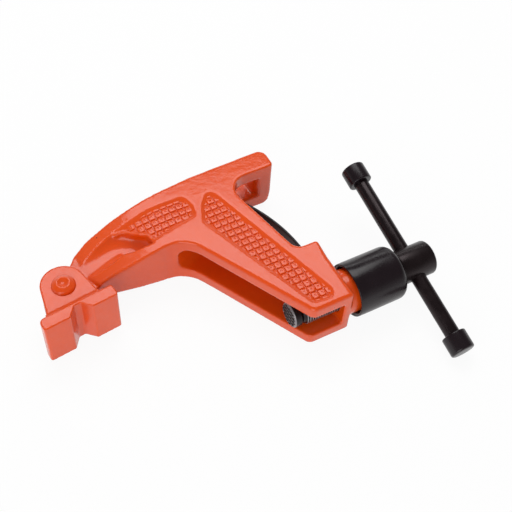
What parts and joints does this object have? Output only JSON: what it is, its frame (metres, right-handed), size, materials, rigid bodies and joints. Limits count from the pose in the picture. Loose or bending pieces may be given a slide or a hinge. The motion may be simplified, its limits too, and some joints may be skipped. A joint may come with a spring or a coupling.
{
  "type": "sliding arm of a bar clamp",
  "caption": "Sliding cast arm for a flat-bar clamp, with a screw under a thread cover, tommy bar, bar spring and swivel V shoe.",
  "frame": {"origin": "where the screw's axis meets the back face of the bar passage, in the middle of the casting's thickness", "axes": "+X along the screw, away from the throat; +Y along the bar, towards the head; +Z through the casting's thickness, up as it lies on its side"},
  "size_m": [0.211, 0.1581, 0.0403],
  "materials": {
    "enamel": "orange enamel on cast iron, glossy",
    "black_oxide": "blackened steel, oiled",
    "black_plastic": "black moulded nylon, satin",
    "spring_steel": "blued spring steel"
  },
  "bodies": {
    "arm": {"arm": "enamel", "spring_foot": "spring_steel", "spring_rivet": "black_oxide"},
    "shoe": {"swivel_shoe": "enamel", "shoe_rivet": "enamel"},
    "pad": {"pressure_pad": "black_oxide"},
    "spindle": {"spindle": "black_oxide", "thread_cover": "black_plastic", "cover_washer": "black_oxide", "cover_clip": "spring_steel"},
    "tommy": {"tommy_bar": "black_oxide", "tommy_cap_upper": "black_oxide", "tommy_cap_lower": "black_oxide"},
    "spring": {"spring_blade": "spring_steel"}
  },
  "joints": [
    {"name": "shoe_swivel", "type": "hinge", "parent": "arm", "child": "shoe", "pos_m": [-0.128, 0.0638, 0], "axis": [0, 0, 1], "range_deg": [-35, 12]},
    {"name": "screw_feed", "type": "slide", "parent": "arm", "child": "pad", "axis": [1, 0, 0], "range_m": [-0.0045, 0.0225]},
    {"name": "spindle_turn", "type": "hinge", "parent": "pad", "child": "spindle", "pos_m": [0, 0, 0], "axis": [1, 0, 0], "range_deg": [-1080, 5400]},
    {"name": "tommy_slide", "type": "slide", "parent": "spindle", "child": "tommy", "axis": [0, 0.9763, 0.2164], "range_m": [-0.046, 0.036]},
    {"name": "spring_flex", "type": "hinge", "parent": "arm", "child": "spring", "pos_m": [-0.0006, 0.0276, 0], "axis": [0, 0, 1], "range_deg": [-14, 0], "stiffness_Nm_per_rad": 1.2}
  ],
  "couplings": [
    {"joint": "screw_feed", "follows": "spindle_turn", "m_per_rad": 0.00023873}
  ]
}
